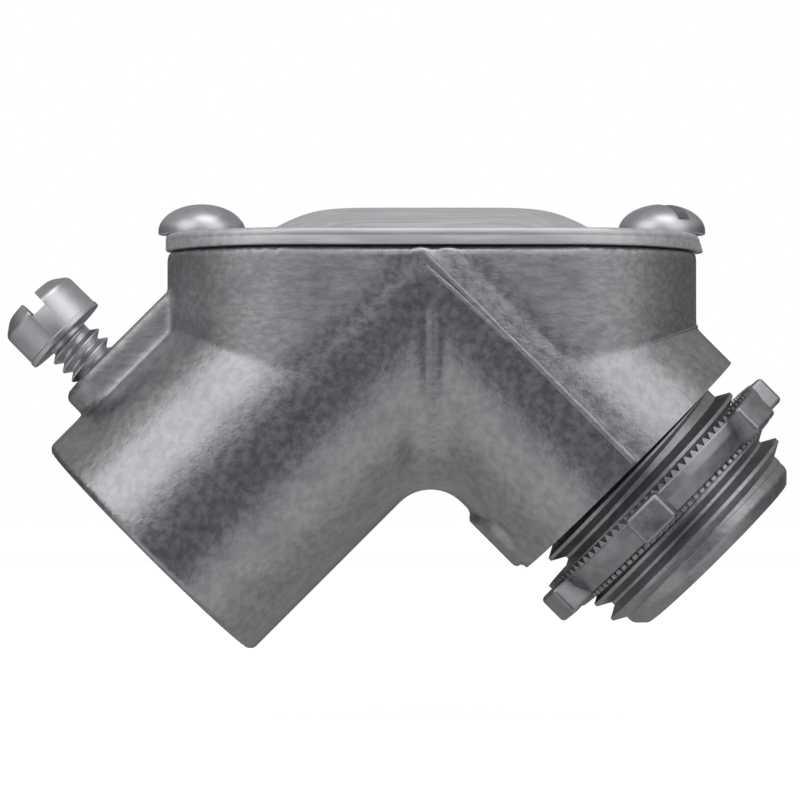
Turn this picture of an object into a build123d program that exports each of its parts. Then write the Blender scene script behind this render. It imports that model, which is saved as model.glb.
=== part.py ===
from build123d import *
import math
import os

# A right-angle conduit pull elbow, die cast in zinc for half-inch thin-wall conduit.
# A plain socket with a clamping screw points down to the left. A threaded hub with its
# locknut points down to the right. An oblong access well on top is closed by a pressed
# cover plate under two round-head screws.
# Millimetres, +Z up. The origin is on the hub's axis, in the plane of its shoulder.
# Both legs' axes lie in the plane Y = 0, slope at 45 degrees and cross inside the well.

# Conduit socket
conduit_diameter = 17.93
conduit_clearance = 0.285
socket_wall = 2.82
stop_reach = 17.7
socket_depth = 15.9
stop_thickness = 2.0
stop_step = 1.3
socket_lead_in = 0.6
socket_rim_bevel = 0.3

# Threaded hub
hub_reach = 23.5
hub_oversize = 0.13
hub_bore_radius = 7.7
hub_bore_bevel = 0.4
ridge_height = 0.1
ridge_width = 0.35
thread_pitch = 1.814
thread_crest_radius = 10.35
thread_depth = 1.15
thread_foot_depth = 0.05
thread_crest_width = 0.36
thread_flank_angle = 30.0
thread_length = 8.7
thread_end_slope = 0.9
thread_first_crest = 1.76
thread_relief_depth = 0.1
thread_relief_clearance = 0.1
nose_length = 1.8
nose_bevel = 0.9
nose_setback = 0.04

# Access well
well_length = 44.6
well_flank_setback = 0.07
well_wall = 2.2
rim_height = 1.25
crotch_round = 3.6
seam_round = 0.4

# Cover plate
cover_thickness = 1.55
cover_overhang = 0.15
cover_edge_bevel = 0.25
cover_hole_clearance = 0.17
dome_length = 28.0
dome_width = 18.0
dome_flank = 4.9
dome_height = 2.0
dome_ease = 0.3

# Cover screws
cover_screw_spacing = 38.8
cover_screw_radius = 2.08
cover_screw_fit = 0.05
cover_screw_length = 6.35
cover_screw_tip_gap = 0.8
cover_head_radius = 3.675
cover_head_height = 2.74
cover_head_side = 0.3
cover_head_steps = 2
cover_slot_width = 1.15
cover_slot_depth = 1.5
left_slot_angle = 0.0
right_slot_angle = -58.0
boss_wall = 1.6

# Clamping screw and its pad
set_screw_from_end = 7.75
set_screw_radius = 2.36
set_screw_fit = 0.06
set_screw_length = 7.94
set_screw_standoff = 3.5
set_head_radius = 3.79
set_head_side = 3.6
set_head_dome = 0.95
set_head_crown_radius = 2.6
set_slot_width = 1.45
set_slot_depth = 1.6
screw_tip_bevel = 0.4
pad_height = 2.13
pad_radius = 3.75
pad_edge_bevel = 0.35

# Plain raised oval on the underside of the hub leg
oval_from_shoulder = 3.5
oval_half_length = 2.9
oval_half_width = 4.2
oval_height = 0.65

# Locknut
nut_from_shoulder = 2.4
nut_width = 3.25
nut_inboard_radius = 12.0
nut_outboard_radius = 11.1
nut_taper_start = 1.2
nut_thread_fit = 0.09
nut_bore_chamfer = 0.35
lug_count = 6
lug_height = 2.5
lug_width = 3.6
lug_thickness = 2.7
lug_setback = 0.25
lug_bevel = 0.5
lug_phase = 100.3

# Worked out from the sizes above
bore_radius = conduit_diameter / 2 + conduit_clearance
throat_radius = bore_radius - stop_step
leg_radius = bore_radius + socket_wall
socket_reach = stop_reach + socket_depth
chamber_reach = stop_reach - stop_thickness
hub_radius = leg_radius + hub_oversize
thread_root_radius = thread_crest_radius - thread_depth
thread_end = hub_reach + thread_length
hub_end = thread_end + nose_length
well_half_length = well_length / 2
well_half_depth = leg_radius - well_flank_setback
pocket_half_length = well_half_length - well_wall
pocket_half_depth = well_half_depth - well_wall
cover_top = rim_height + cover_thickness
cover_screw_place = cover_screw_spacing / 2
cover_screw_grip = cover_screw_length - cover_thickness
set_screw_reach = socket_reach - set_screw_from_end
pad_top = leg_radius + pad_height
set_head_seat = pad_top + set_screw_standoff
nut_bore_radius = thread_crest_radius + nut_thread_fit
lug_reach = nut_outboard_radius + lug_height

# The crossing of the two axes, and planes on it: z runs out along a leg or straight up
crossing = Vector(-hub_reach / math.sqrt(2), 0, hub_reach / math.sqrt(2))
socket_plane = Plane(origin=crossing, x_dir=(-1, 0, 1), z_dir=(-1, 0, -1))
hub_plane = Plane(origin=crossing, x_dir=(1, 0, 1), z_dir=(1, 0, -1))
well_plane = Plane(origin=crossing)
side_plane = Plane(origin=crossing, x_dir=(1, 0, 0), z_dir=(0, -1, 0))
set_screw_plane = Plane(
    origin=crossing + socket_plane.z_dir * set_screw_reach,
    x_dir=socket_plane.z_dir * -1,
    z_dir=socket_plane.x_dir,
)


def rod(plane, radius, start, end):
    """A round bar on a plane's normal, between two distances from the plane."""
    return plane.offset(start) * Cylinder(radius, end - start, align=(Align.CENTER, Align.CENTER, Align.MIN))


def turned(plane, points):
    """A solid turned about a plane's normal from an outline of (radius, distance) points."""
    outline = make_face(Plane.XZ * Polyline(*points, close=True))
    return plane * revolve(outline, Axis.Z, 360)


def oblong(length, width, base, top):
    """A round-ended upright block along X, between two heights over the crossing."""
    return extrude(well_plane.offset(base) * SlotOverall(length, width), top - base)


def side_block(points, half_depth):
    """A block with an outline of (x, z) points round the crossing, as deep on both sides of Y = 0."""
    outline = make_face(side_plane * Polyline(*points, close=True))
    return extrude(outline, half_depth, both=True)


def legs():
    """Both legs as solid bars with a rounded crotch, cut off level with the well's rim."""
    end_of_leg = Axis(crossing, socket_plane.z_dir)
    socket_leg = rod(socket_plane, leg_radius, 0, socket_reach)
    rim = socket_leg.edges().filter_by(GeomType.CIRCLE).sort_by(end_of_leg)[-1]
    socket_leg = chamfer(rim, socket_rim_bevel)
    hub_leg = rod(hub_plane, hub_radius, 0, hub_reach)
    pair = socket_leg + hub_leg
    crotch = pair.edges().filter_by(GeomType.BSPLINE).sort_by(Axis.Z)[0]
    pair = fillet(crotch, crotch_round) + parting_ridges()
    return split(pair, bisect_by=well_plane.offset(rim_height), keep=Keep.BOTTOM)


def parting_ridges():
    """The thin raised lines where the mould halves met, down the front and back of the hub leg."""
    start = -rim_height * math.sqrt(2)
    skin = rod(hub_plane, hub_radius + ridge_height, start, hub_reach)
    slab = Box(ridge_width, 4 * hub_radius, 4 * hub_reach)
    return skin & (hub_plane * slab)


def well():
    """The well's outside, standing on both legs' axes."""
    reach = well_half_length
    shoulder = (hub_reach - well_wall) / math.sqrt(2)
    above_axes = (
        (-reach, -reach),
        (0, 0),
        (shoulder, -shoulder),
        (reach, reach - 2 * shoulder),
        (reach, rim_height),
        (-reach, rim_height),
    )
    block = oblong(well_length, 2 * well_half_depth, -reach, rim_height)
    return block & side_block(above_axes, leg_radius)


def screw_pad():
    """The thick strip for the clamping screw, from the socket's end into the well's wall."""
    run = set_screw_reach - chamber_reach
    foot = bore_radius + socket_wall / 2
    strip = Circle(pad_radius) + Pos(run / 2, 0) * Rectangle(run, 2 * pad_radius)
    pad = extrude(strip, pad_top - foot)
    pad = chamfer(pad.faces().sort_by(Axis.Z)[-1].edges().sort_by(Axis.X)[:-1], pad_edge_bevel)
    return set_screw_plane.offset(foot) * pad


def plain_oval():
    """The bare raised oval on the underside of the hub leg."""
    place = Plane(
        origin=crossing + hub_plane.z_dir * (hub_reach - oval_from_shoulder),
        x_dir=hub_plane.z_dir,
        z_dir=hub_plane.x_dir * -1,
    )
    column = extrude(place * Ellipse(oval_half_length, oval_half_width), 2 * hub_radius)
    return column & rod(hub_plane, hub_radius + oval_height, 0, hub_reach)


def hub_thread():
    """The hub's right-hand pipe thread as one helical ridge, its foot just inside the core."""
    foot_radius = thread_root_radius - thread_foot_depth
    half_crest = thread_crest_width / 2
    half_foot = half_crest + (thread_crest_radius - foot_radius) * math.tan(math.radians(thread_flank_angle))
    outline = Polyline(
        (foot_radius, -half_foot),
        (thread_crest_radius, -half_crest),
        (thread_crest_radius, half_crest),
        (foot_radius, half_foot),
        close=True,
    )
    turns_inside = math.ceil(thread_first_crest / thread_pitch) + 1
    start = thread_first_crest - turns_inside * thread_pitch
    turns = math.ceil((thread_length - start) / thread_pitch) + 1
    path = Helix(thread_pitch, turns * thread_pitch, thread_root_radius)
    ridge = Pos(0, 0, start) * sweep(make_face(Plane.XZ * outline), path, is_frenet=True)
    inner_end = -thread_pitch / 2
    clear_radius = thread_crest_radius + thread_depth / 2
    least_radius = foot_radius - thread_depth / 2
    slope_start = thread_length - (clear_radius - least_radius) * thread_end_slope
    kept = turned(
        Plane.XY,
        (
            (0, inner_end),
            (clear_radius, inner_end),
            (clear_radius, slope_start),
            (least_radius, thread_length),
            (0, thread_length),
        ),
    )
    return hub_plane.offset(hub_reach) * (ridge & kept)


def thread_relief():
    """The shallow sinking round the thread's foot, which lets a box wall lie flat on the shoulder."""
    radius = thread_crest_radius + thread_relief_clearance
    return rod(hub_plane, radius, hub_reach - thread_relief_depth, hub_reach + thread_relief_depth)


def chamber():
    """The space inside the well and behind the socket's stop, around the two screw bosses."""
    corner = chamber_reach / math.sqrt(2)
    shelf = pocket_half_length - 2 * corner
    top = rim_height + well_wall
    above_axes = (
        (0, 0),
        (corner, -corner),
        (pocket_half_length, shelf),
        (pocket_half_length, top),
        (-pocket_half_length, top),
        (-pocket_half_length, shelf),
        (-corner, -corner),
    )
    pocket = oblong(2 * pocket_half_length, 2 * pocket_half_depth, -pocket_half_length, top)
    pocket = pocket & side_block(above_axes, leg_radius)
    for side in (-1, 1):
        column = Plane(origin=crossing + Vector(side * cover_screw_place, 0, 0))
        pocket = pocket - rod(column, cover_screw_radius + boss_wall, -well_half_length, top)
    below_axes = ((0, 0), (2 * corner, -2 * corner), (0, -4 * corner), (-2 * corner, -2 * corner))
    tunnels = rod(socket_plane, pocket_half_depth, 0, chamber_reach) + rod(
        hub_plane, pocket_half_depth, 0, chamber_reach
    )
    return pocket + (tunnels & side_block(below_axes, leg_radius))


def hollows():
    """All that is taken out of the casting."""
    beyond = well_wall
    mouth = turned(
        socket_plane,
        (
            (0, stop_reach),
            (bore_radius, stop_reach),
            (bore_radius, socket_reach - socket_lead_in),
            (bore_radius + socket_lead_in, socket_reach),
            (bore_radius + socket_lead_in, socket_reach + beyond),
            (0, socket_reach + beyond),
        ),
    )
    throat = rod(socket_plane, throat_radius, 0, stop_reach + stop_thickness / 2)
    hub_bore = rod(hub_plane, hub_bore_radius, 0, hub_end + beyond)
    set_screw_hole = rod(set_screw_plane, set_screw_radius + set_screw_fit, 0, pad_top + beyond)
    space = chamber() + mouth + throat + hub_bore + set_screw_hole
    for side in (-1, 1):
        column = Plane(origin=crossing + Vector(side * cover_screw_place, 0, rim_height))
        depth = cover_screw_grip + cover_screw_tip_gap
        space = space + rod(column, cover_screw_radius + cover_screw_fit, -depth, beyond)
    return space


def casting():
    """The elbow itself, one die casting."""
    core = turned(
        hub_plane,
        (
            (0, hub_reach - well_wall),
            (thread_root_radius, hub_reach - well_wall),
            (thread_root_radius, thread_end),
            (thread_root_radius - nose_setback, thread_end),
            (thread_root_radius - nose_setback, hub_end),
            (0, hub_end),
        ),
    )
    along_hub = Axis(crossing, hub_plane.z_dir)
    core = chamfer(core.edges().filter_by(GeomType.CIRCLE).sort_by(along_hub)[-1], nose_bevel)
    shell = legs() + well()
    curves = shell.edges().filter_by(GeomType.BSPLINE)
    shell = fillet(curves.filter_by(lambda curve: is_seam(curve.center() - crossing)), seam_round)
    shell = shell - thread_relief()
    body = shell + (core + hub_thread()) + screw_pad() + plain_oval() - hollows()
    end_circles = body.edges().filter_by(GeomType.CIRCLE).group_by(along_hub)[-1]
    return chamfer(end_circles.sort_by(SortBy.RADIUS)[0], hub_bore_bevel)


def is_seam(place):
    """Whether an edge centred there joins the round ends of the well to a leg."""
    return abs(place.X) > well_half_length - well_half_depth and -well_half_depth < place.Z < 0


def dome(rise_from):
    """The raised middle of the cover plate, its flanks eased at foot and crown, on a given height."""
    foot = dome_width / 2
    crown = foot - dome_flank
    straight = dome_length - dome_width
    ease = dome_flank * dome_ease
    lift = dome_height * dome_ease / 2
    sunk = -cover_thickness / 2
    section = make_face(
        Polyline(
            (0, sunk),
            (foot, sunk),
            (foot, 0),
            (foot - ease, lift),
            (crown + ease, dome_height - lift),
            (crown, dome_height),
            (0, dome_height),
            close=True,
        )
    )
    end = revolve(Plane.XZ * section, Axis.Z, 360)
    half = extrude(Plane.YZ * section, straight / 2, both=True)
    body = half + mirror(half, Plane.XZ) + Pos(straight / 2, 0, 0) * end + Pos(-straight / 2, 0, 0) * end
    return well_plane.offset(rise_from) * body


def cover_plate():
    """The pressed cover, of one thickness, hollow under its dome."""
    length = well_length + 2 * cover_overhang
    width = 2 * (well_half_depth + cover_overhang)
    plate = oblong(length, width, rim_height, cover_top)
    plate = chamfer(plate.faces().sort_by(Axis.Z)[-1].edges(), cover_edge_bevel)
    plate = plate + dome(cover_top) - dome(rim_height)
    for side in (-1, 1):
        column = Plane(origin=crossing + Vector(side * cover_screw_place, 0, 0))
        plate = plate - rod(column, cover_screw_radius + cover_hole_clearance, 0, 2 * cover_top)
    return plate


def screw_shank(radius, length):
    """The outline of a bevelled shank below a head's seat, from the axis round to the seat's edge."""
    tip = (radius - screw_tip_bevel, -length)
    return [(0, -length), tip, (radius, screw_tip_bevel - length), (radius, 0)]


def cover_screw(side, slot_angle):
    """A round-head machine screw for the cover, its slot turned by an angle from X."""
    rise = cover_head_height - cover_head_side
    steps = [math.radians(90 * step / cover_head_steps) for step in range(cover_head_steps + 1)]
    head = [(cover_head_radius * math.cos(a), cover_head_side + rise * math.sin(a)) for a in steps]
    outline = screw_shank(cover_screw_radius, cover_screw_length) + [(cover_head_radius, 0)] + head
    slot = Box(3 * cover_head_radius, cover_slot_width, 2 * cover_slot_depth)
    slot = Pos(0, 0, cover_head_height) * Rot(0, 0, slot_angle) * slot
    place = Plane(origin=crossing + Vector(side * cover_screw_place, 0, cover_top))
    return place * (turned(Plane.XY, outline) - slot)


def clamping_screw():
    """The slotted cheese-head screw that clamps the conduit, backed out by its standoff."""
    top = set_head_side + set_head_dome
    head = [(set_head_radius, 0), (set_head_radius, set_head_side), (set_head_crown_radius, top), (0, top)]
    outline = screw_shank(set_screw_radius, set_screw_length) + head
    slot = Pos(0, 0, top) * Box(set_slot_width, 3 * set_head_radius, 2 * set_slot_depth)
    return set_screw_plane.offset(set_head_seat) * (turned(Plane.XY, outline) - slot)


def locknut():
    """The cast locknut: a tapered ring with blunt lugs, its rims left plain."""
    inboard = hub_reach + nut_from_shoulder
    outboard = inboard + nut_width
    ring = turned(
        hub_plane,
        (
            (nut_bore_radius + nut_bore_chamfer, inboard),
            (nut_inboard_radius, inboard),
            (nut_inboard_radius, inboard + nut_taper_start),
            (nut_outboard_radius, outboard),
            (nut_bore_radius + nut_bore_chamfer, outboard),
            (nut_bore_radius, outboard - nut_bore_chamfer),
            (nut_bore_radius, inboard + nut_bore_chamfer),
        ),
    )
    lug_foot = (nut_bore_radius + nut_outboard_radius) / 2
    lug = Pos((lug_foot + lug_reach) / 2, 0, 0) * Box(
        lug_reach - lug_foot, lug_width, lug_thickness, align=(Align.CENTER, Align.CENTER, Align.MIN)
    )
    lug = chamfer(lug.edges().group_by(Axis.X)[-1] + lug.edges().filter_by(Axis.X), lug_bevel)
    nut = ring
    for number in range(lug_count):
        turn = Rot(0, 0, lug_phase + number * 360 / lug_count)
        nut = nut + hub_plane.offset(inboard + lug_setback) * turn * lug
    return nut


def write(node, solid):
    """Writes one piece to its own file and says how large it came out."""
    export_step(solid, f"parts/{node}.step")
    print(node, "solids", len(solid.solids()), "volume", round(solid.volume, 1), "valid", solid.is_valid)


os.makedirs("parts", exist_ok=True)
write("elbow_casting", casting())
write("cover_plate", cover_plate())
write("cover_screw_left", cover_screw(-1, left_slot_angle))
write("cover_screw_right", cover_screw(1, right_slot_angle))
write("clamping_screw", clamping_screw())
write("locknut", locknut())
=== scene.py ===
"""The looks of a conduit pull elbow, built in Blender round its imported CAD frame.

Sizes are in millimetres until a mesh is handed over, and metres after that. The row frame has
+Z up and its origin on the threaded hub's axis, in the plane of the hub's shoulder.
"""

import logging
import math
from dataclasses import dataclass, field
from enum import Enum
from typing import Sequence

import bmesh
import bpy
from bmesh.types import BMVert, BMesh
from bpy.types import Material, Node, NodeSocket, NodeTree, Object
from mathutils import Matrix, Vector


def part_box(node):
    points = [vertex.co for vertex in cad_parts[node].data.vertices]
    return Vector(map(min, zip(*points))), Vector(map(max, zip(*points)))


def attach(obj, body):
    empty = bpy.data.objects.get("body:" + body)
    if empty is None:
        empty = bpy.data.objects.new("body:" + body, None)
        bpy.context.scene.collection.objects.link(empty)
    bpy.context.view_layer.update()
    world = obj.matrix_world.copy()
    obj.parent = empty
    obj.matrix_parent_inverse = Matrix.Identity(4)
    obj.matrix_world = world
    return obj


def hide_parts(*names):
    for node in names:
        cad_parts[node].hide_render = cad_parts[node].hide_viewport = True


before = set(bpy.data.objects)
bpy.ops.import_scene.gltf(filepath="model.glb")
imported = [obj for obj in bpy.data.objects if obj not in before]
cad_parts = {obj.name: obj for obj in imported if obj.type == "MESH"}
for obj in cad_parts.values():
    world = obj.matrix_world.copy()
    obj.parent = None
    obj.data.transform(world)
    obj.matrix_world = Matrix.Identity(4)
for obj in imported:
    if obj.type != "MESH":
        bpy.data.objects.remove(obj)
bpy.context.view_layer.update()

LOG = logging.getLogger("elbow")
MM = 0.001
HALF_ROOT = math.sqrt(0.5)
ON_AXIS = 1e-6
HUB_REACH = 23.5
MATT = "matt"
WHITE = (1.0, 1.0, 1.0, 1.0)

Outline = list[tuple[float, float]]
Corner = tuple[float, float, float]
Source = NodeSocket | Node | float | int | bool | tuple | Object


class Body(Enum):
    """The CAD bodies that pieces ride on."""

    ELBOW = "elbow"
    COVER = "cover"
    LEFT_SCREW = "left_screw"
    RIGHT_SCREW = "right_screw"
    CLAMP = "clamp"
    NUT = "nut"


class Slot(Enum):
    """The record's material slots."""

    CASTING = "cast_zinc"
    COVER = "pressed_cover"
    COVER_SCREW = "plated_screw"
    CLAMPING_SCREW = "plated_clamp"
    LOCKNUT = "cast_zinc_nut"


@dataclass(frozen=True)
class Place:
    """A working frame in the row frame, in millimetres.

    Args:
        origin: where the local origin lies.
        z: the way local Z points.
        x: the way local X points.
    """

    origin: tuple[float, float, float]
    z: tuple[float, float, float]
    x: tuple[float, float, float]

    def along(self) -> Vector:
        """The unit vector along local Z."""
        return Vector(self.z).normalized()

    def across(self) -> Vector:
        """The unit vector along local X."""
        return Vector(self.x).normalized()

    def matrix(self) -> Matrix:
        """The matrix from this place to the row frame."""
        z, x = self.along(), self.across()
        return Matrix.Translation(self.origin) @ Matrix((x, z.cross(x), z)).transposed().to_4x4()


CROSSING = (-HUB_REACH * HALF_ROOT, 0.0, HUB_REACH * HALF_ROOT)
HUB = Place((0.0, 0.0, 0.0), (1, 0, -1), (1, 0, 1))
SOCKET = Place(CROSSING, (-1, 0, -1), (-1, 0, 1))
WELL = Place(CROSSING, (0, 0, 1), (1, 0, 0))
UPRIGHT = Place((0.0, 0.0, 0.0), (0, 0, 1), (1, 0, 0))


def linear(colour: str) -> tuple[float, float, float, float]:
    """Turns an sRGB hex colour to linear light.

    Args:
        colour: six hex digits after a hash sign.

    Returns:
        Linear red, green and blue, and an alpha of 1.
    """
    parts = [int(colour[start:start + 2], 16) / 255 for start in (1, 3, 5)]
    light = [part / 12.92 if part <= 0.04045 else ((part + 0.055) / 1.055) ** 2.4 for part in parts]
    return (light[0], light[1], light[2], 1.0)


def add_node(
    tree: NodeTree, kind: str, links: dict[str | int, Source] | None = None, **settings: object
) -> Node:
    """Adds a node with its settings, values and links.

    Args:
        tree: the tree it goes into.
        kind: Blender's name for the node's type.
        links: for each input, by name or number, a socket to link, a node whose first output is
            linked, or a value to set.
        settings: properties of the node itself.

    Returns:
        The new node.
    """
    node = tree.nodes.new(kind)
    for name, value in settings.items():
        setattr(node, name, value)
    for name, source in (links or {}).items():
        if isinstance(source, Node):
            source = source.outputs[0]
        if isinstance(source, NodeSocket):
            tree.links.new(source, node.inputs[name])
        else:
            node.inputs[name].default_value = source
    return node


def eased(corners: Sequence[Corner], steps: int = 5) -> Outline:
    """Rounds the corners of an outline.

    Args:
        corners: for each corner its two coordinates and its rounding radius.
        steps: straight pieces in each rounding.

    Returns:
        The outline's points.
    """
    outline: Outline = []
    for number, (across, along, radius) in enumerate(corners):
        here = Vector((across, along))
        if radius == 0 or number in (0, len(corners) - 1):
            outline.append((across, along))
            continue
        back = (Vector(corners[number - 1][:2]) - here).normalized()
        ahead = (Vector(corners[number + 1][:2]) - here).normalized()
        half = back.angle(ahead) / 2
        centre = here + (back + ahead).normalized() * (radius / math.sin(half))
        start = here + back * (radius / math.tan(half)) - centre
        end = here + ahead * (radius / math.tan(half)) - centre
        turn = start.angle_signed(end)
        for step in range(steps + 1):
            point = centre + Matrix.Rotation(-turn * step / steps, 2) @ start
            outline.append((point.x, point.y))
    return outline


def lathe(outline: Outline, segments: int, ring: bool = False) -> BMesh:
    """Turns an outline about Z.

    Args:
        outline: (radius, height) points.
        segments: faces round the axis.
        ring: whether the outline's end joins its start.

    Returns:
        The turned mesh, its faces pointing outwards.
    """
    mesh = bmesh.new()
    rows = []
    for radius, height in outline:
        count = 1 if radius < ON_AXIS else segments
        angles = [2 * math.pi * step / segments for step in range(count)]
        rows.append([mesh.verts.new((radius * math.cos(a), radius * math.sin(a), height)) for a in angles])
    pairs = list(zip(rows, rows[1:])) + ([(rows[-1], rows[0])] if ring else [])
    for lower, upper in pairs:
        for step in range(segments):
            ahead = step + 1
            loop = (
                lower[step % len(lower)],
                lower[ahead % len(lower)],
                upper[ahead % len(upper)],
                upper[step % len(upper)],
            )
            corners = list(dict.fromkeys(loop))
            if len(corners) > 2:
                mesh.faces.new(corners)
    bmesh.ops.recalc_face_normals(mesh, faces=mesh.faces)
    return mesh


def block(size: tuple[float, float, float], middle: Vector) -> BMesh:
    """Makes a block.

    Args:
        size: its length, width and height.
        middle: where its middle lies.

    Returns:
        The block's mesh.
    """
    mesh = bmesh.new()
    bmesh.ops.create_cube(mesh, size=1.0)
    mesh.transform(Matrix.Translation(middle) @ Matrix.Diagonal((*size, 1.0)))
    return mesh


def as_object(name: str, mesh: BMesh) -> Object:
    """Puts a mesh into an object of the scene.

    Args:
        name: the object's name.
        mesh: the mesh; it is used up.

    Returns:
        The new object.
    """
    data = bpy.data.meshes.new(name)
    mesh.to_mesh(data)
    mesh.free()
    thing = bpy.data.objects.new(name, data)
    bpy.context.scene.collection.objects.link(thing)
    return thing


def settle(thing: Object) -> Object:
    """Turns an object's modifiers into plain mesh.

    Args:
        thing: the object.

    Returns:
        The same object, without modifiers.
    """
    bpy.context.view_layer.update()
    depsgraph = bpy.context.evaluated_depsgraph_get()
    data = bpy.data.meshes.new_from_object(thing.evaluated_get(depsgraph))
    thing.modifiers.clear()
    thing.data = data
    data.name = thing.name
    return thing


def cut(thing: Object, cutter: BMesh) -> Object:
    """Takes a mesh away from an object.

    Args:
        thing: the object that is cut.
        cutter: the mesh that is taken away; it is used up.

    Returns:
        The same object, cut.
    """
    tool = as_object("cutter", cutter)
    modifier = thing.modifiers.new("cut", "BOOLEAN")
    modifier.operation = "DIFFERENCE"
    modifier.solver = "EXACT"
    modifier.object = tool
    settle(thing)
    bpy.data.objects.remove(tool)
    return thing


def soften(thing: Object, width: float, angle: float = 40.0, segments: int = 2) -> Object:
    """Rounds an object's sharp edges.

    Args:
        thing: the object.
        width: width of the rounding.
        angle: the angle in degrees past which an edge is rounded.
        segments: straight pieces in the rounding.

    Returns:
        The same object.
    """
    modifier = thing.modifiers.new("soften", "BEVEL")
    modifier.width = width
    modifier.segments = segments
    modifier.limit_method = "ANGLE"
    modifier.angle_limit = math.radians(angle)
    modifier.harden_normals = False
    return settle(thing)


def join(name: str, parts: Sequence[Object]) -> Object:
    """Makes one object of several that lie in one local frame.

    Args:
        name: the new object's name.
        parts: the objects; they are used up.

    Returns:
        The new object.
    """
    whole = bmesh.new()
    for part in parts:
        whole.from_mesh(part.data)
        bpy.data.objects.remove(part)
    return as_object(name, whole)


def run_tree(name: str, tree: NodeTree, values: dict[str, Source]) -> Object:
    """Runs a geometry tree with its named inputs and keeps the result as plain mesh.

    Args:
        name: the new object's name.
        tree: the geometry tree.
        values: a value for each named input.

    Returns:
        The object that holds the result.
    """
    host = as_object(name, bmesh.new())
    modifier = host.modifiers.new(name, "NODES")
    modifier.node_group = tree
    given = [item for item in tree.interface.items_tree if item.in_out == "INPUT"]
    sockets = {item.name: item.identifier for item in given}
    for label, value in values.items():
        modifier[sockets[label]] = value
    return settle(host)


def new_tree(name: str, inputs: dict[str, tuple[str, Source | None]]) -> tuple[NodeTree, Node]:
    """Starts a geometry tree.

    Args:
        name: the tree's name.
        inputs: for each named input its socket type and its default.

    Returns:
        The tree and its input node.
    """
    tree = bpy.data.node_groups.new(name, "GeometryNodeTree")
    for label, (kind, default) in inputs.items():
        socket = tree.interface.new_socket(name=label, in_out="INPUT", socket_type=kind)
        if default is not None:
            socket.default_value = default
    tree.interface.new_socket(name="Geometry", in_out="OUTPUT", socket_type="NodeSocketGeometry")
    return tree, add_node(tree, "NodeGroupInput")


def end_tree(tree: NodeTree, geometry: Node, material: NodeSocket) -> None:
    """Ends a geometry tree in real geometry that wears its material.

    Args:
        tree: the tree.
        geometry: the node that has made its geometry.
        material: the socket of its finish.
    """
    real = add_node(tree, "GeometryNodeRealizeInstances", {"Geometry": geometry})
    dressed = add_node(tree, "GeometryNodeSetMaterial", {"Geometry": real, "Material": material})
    add_node(tree, "NodeGroupOutput", {"Geometry": dressed})


def thread_tree() -> NodeTree:
    """Makes a tree that winds one right-hand thread ridge round Z, fading out at both ends.

    Returns:
        The tree.
    """
    tree, given = new_tree(
        "thread_ridge",
        {
            "Core Radius": ("NodeSocketFloat", 9.2),
            "Depth": ("NodeSocketFloat", 1.0),
            "Foot Width": ("NodeSocketFloat", 1.6),
            "Crest Width": ("NodeSocketFloat", 0.3),
            "Pitch": ("NodeSocketFloat", 1.8),
            "Turns": ("NodeSocketFloat", 5.0),
            "Start": ("NodeSocketFloat", 0.0),
            "Fade": ("NodeSocketFloat", 0.05),
            "Steps": ("NodeSocketInt", 64),
            "Finish": ("NodeSocketMaterial", None),
        },
    )
    value = given.outputs
    height = add_node(tree, "ShaderNodeMath", {0: value["Pitch"], 1: value["Turns"]}, operation="MULTIPLY")
    spiral = add_node(
        tree,
        "GeometryNodeCurveSpiral",
        {
            "Resolution": value["Steps"],
            "Rotations": value["Turns"],
            "Start Radius": value["Core Radius"],
            "End Radius": value["Core Radius"],
            "Height": height,
            "Reverse": True,
        },
    )
    rise = add_node(tree, "ShaderNodeCombineXYZ", {"Z": value["Start"]})
    moved = add_node(tree, "GeometryNodeTransform", {"Geometry": spiral, "Translation": rise})
    upright = add_node(tree, "GeometryNodeSetCurveNormal", {"Curve": moved}, mode="Z_UP")
    section = add_node(
        tree,
        "GeometryNodeCurvePrimitiveQuadrilateral",
        {
            "Height": value["Depth"],
            "Bottom Width": value["Foot Width"],
            "Top Width": value["Crest Width"],
            "Offset": 0.0,
        },
        mode="TRAPEZOID",
    )
    half_depth = add_node(tree, "ShaderNodeMath", {0: value["Depth"], 1: 0.5}, operation="MULTIPLY")
    outwards = add_node(tree, "ShaderNodeCombineXYZ", {"X": half_depth})
    turned = add_node(
        tree,
        "GeometryNodeTransform",
        {"Geometry": section, "Translation": outwards, "Rotation": (0.0, 0.0, -math.pi / 2)},
    )
    along = add_node(tree, "GeometryNodeSplineParameter").outputs["Factor"]
    left = add_node(tree, "ShaderNodeMath", {0: 1.0, 1: along}, operation="SUBTRACT")
    nearest = add_node(tree, "ShaderNodeMath", {0: along, 1: left}, operation="MINIMUM")
    fade = add_node(
        tree,
        "ShaderNodeMapRange",
        {"Value": nearest, "From Min": 0.0, "From Max": value["Fade"], "To Min": 0.02, "To Max": 1.0},
    )
    ridge = add_node(
        tree,
        "GeometryNodeCurveToMesh",
        {"Curve": upright, "Profile Curve": turned, "Scale": fade, "Fill Caps": True},
    )
    end_tree(tree, ridge, value["Finish"])
    return tree


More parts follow.
